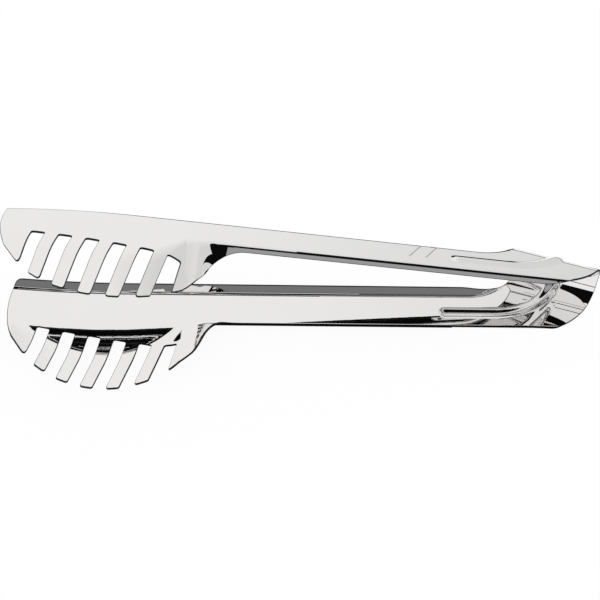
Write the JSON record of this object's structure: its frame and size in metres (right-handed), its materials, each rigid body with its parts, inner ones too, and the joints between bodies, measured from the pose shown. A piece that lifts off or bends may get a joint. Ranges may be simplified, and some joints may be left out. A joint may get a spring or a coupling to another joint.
{
  "type": "pasta tongs",
  "caption": "Sprung kitchen tongs pressed from one polished steel strip, with comb heads for lifting pasta and a folded bow that opens the arms.",
  "frame": {"origin": "middle of the tongs' length and width, on the surface that they lie on", "axes": "+X along the lower handle from the heads to the bow, +Z from the lower arm up to the upper arm; the teeth point to -Y"},
  "size_m": [0.215, 0.0592, 0.0491],
  "materials": {
    "steel": "stainless steel, pressed and mirror polished"
  },
  "bodies": {
    "lower_arm": {"lower_head": "steel", "lower_handle": "steel", "spring_bow": "steel"},
    "upper_arm": {"upper_handle": "steel", "upper_head": "steel"}
  },
  "joints": [
    {"name": "squeeze", "type": "hinge", "parent": "lower_arm", "child": "upper_arm", "pos_m": [-0.00915, 0.04843, 0.01086], "axis": [0.9494, -0.3141, 0], "range_deg": [-5, 22], "stiffness_Nm_per_rad": 1.6, "springref_deg": -0.42, "deforming": ["spring_bow"]}
  ]
}
